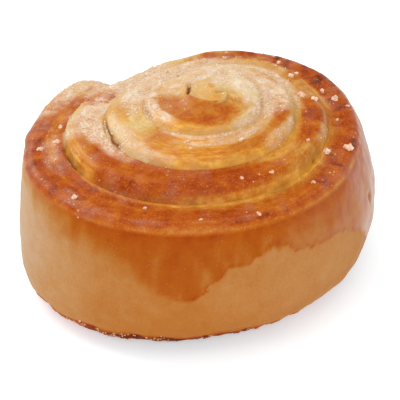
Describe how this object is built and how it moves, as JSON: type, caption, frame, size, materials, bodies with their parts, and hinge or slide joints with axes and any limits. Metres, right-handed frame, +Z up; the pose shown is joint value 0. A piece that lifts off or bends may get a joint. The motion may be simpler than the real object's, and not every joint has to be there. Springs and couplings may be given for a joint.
{
  "type": "sugar bun",
  "caption": "Round baked bun rolled from a strip of sweet dough, with a spiral of ridges on its domed top, coarse sugar on the crust and a flat underside.",
  "frame": {"origin": "middle of the outline seen from above, on the flat underside", "axes": "+Z up through the top of the spiral, -Y towards the side shown at the front, +X to the right as seen from the front"},
  "size_m": [0.0968, 0.088, 0.0554],
  "materials": {
    "crust": "egg-washed golden brown crust, satin on top and paler on the side",
    "sugar": "clear to white sugar crystals and coarse lumps"
  },
  "bodies": {
    "root": {"bun": "crust"}
  },
  "joints": []
}
